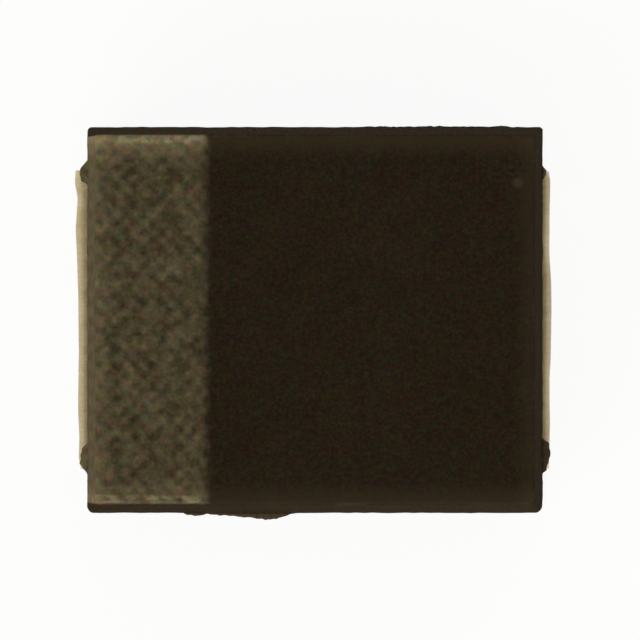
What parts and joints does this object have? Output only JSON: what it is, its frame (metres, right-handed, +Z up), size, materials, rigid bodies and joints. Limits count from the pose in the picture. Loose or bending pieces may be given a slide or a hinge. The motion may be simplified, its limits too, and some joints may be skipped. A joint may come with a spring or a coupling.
{
  "type": "moulded chip tantalum capacitor",
  "caption": "Surface-mount polarised capacitor: a drafted moulded block with a polarity band and folded sheet terminals wrapped under both ends, with its pellet and coats inside.",
  "frame": {"origin": "middle of the footprint, on the board's surface", "axes": "+X along the length towards the cathode terminal, the banded anode end at -X; +Y across the width; +Z up, away from the board"},
  "size_m": [0.0034, 0.0029, 0.0019],
  "materials": {
    "moulded_epoxy": "matt black-brown moulded epoxy",
    "tinned_lead": "matt tin plating on sheet metal",
    "sintered_tantalum": "dark grey sintered porous metal",
    "tantalum_wire": "drawn grey metal",
    "fluoropolymer": "white waxy plastic",
    "manganese_dioxide": "black granular oxide",
    "graphite": "dark grey graphite paint",
    "silver_paint": "matt silver-filled paint",
    "silver_adhesive": "silver-filled adhesive"
  },
  "bodies": {
    "root": {"moulded_case": "moulded_epoxy", "anode_terminal": "tinned_lead", "cathode_terminal": "tinned_lead", "anode_wire": "tantalum_wire", "wire_washer": "fluoropolymer", "anode_pellet": "sintered_tantalum", "manganese_dioxide_coat": "manganese_dioxide", "graphite_coat": "graphite", "silver_coat": "silver_paint", "silver_adhesive": "silver_adhesive"}
  },
  "joints": []
}
